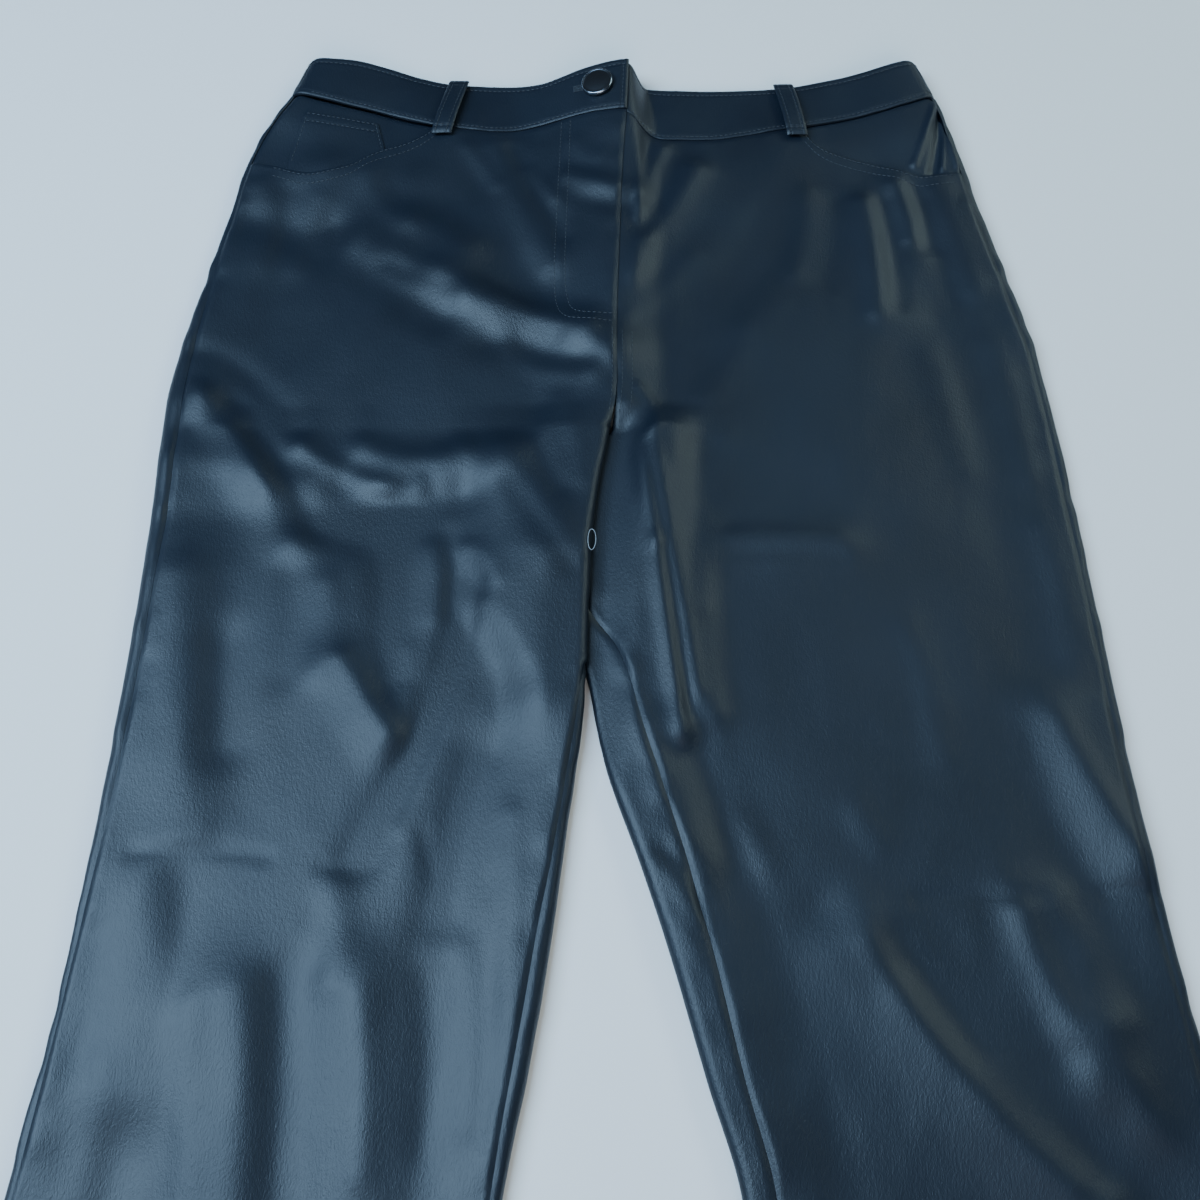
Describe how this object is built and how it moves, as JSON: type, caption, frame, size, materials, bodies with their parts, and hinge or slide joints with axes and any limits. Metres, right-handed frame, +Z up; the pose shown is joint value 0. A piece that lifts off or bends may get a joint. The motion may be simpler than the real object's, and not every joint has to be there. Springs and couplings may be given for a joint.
{
  "type": "leather trousers",
  "caption": "High-waisted wide-leg leather trousers laid flat, front up, with scooped pockets, coin pocket, belt loops, fly and metal waist button.",
  "frame": {"origin": "middle of the footprint, on the surface that the garment lies on", "axes": "+Z up off the surface, +Y towards the waist, +X to the right as the front is looked at"},
  "size_m": [0.59, 1.045, 0.0237],
  "materials": {
    "hide": "satin",
    "gunmetal": "polished"
  },
  "bodies": {
    "root": {"front_left": "hide", "front_right": "hide", "back_left": "hide", "back_right": "hide", "waistband_left": "hide", "waistband_right": "hide", "waistband_back": "hide", "pocket_facing_left": "hide", "pocket_facing_right": "hide", "coin_pocket": "hide", "belt_loop_left": "hide", "belt_loop_right": "hide", "button": "gunmetal"}
  },
  "joints": []
}
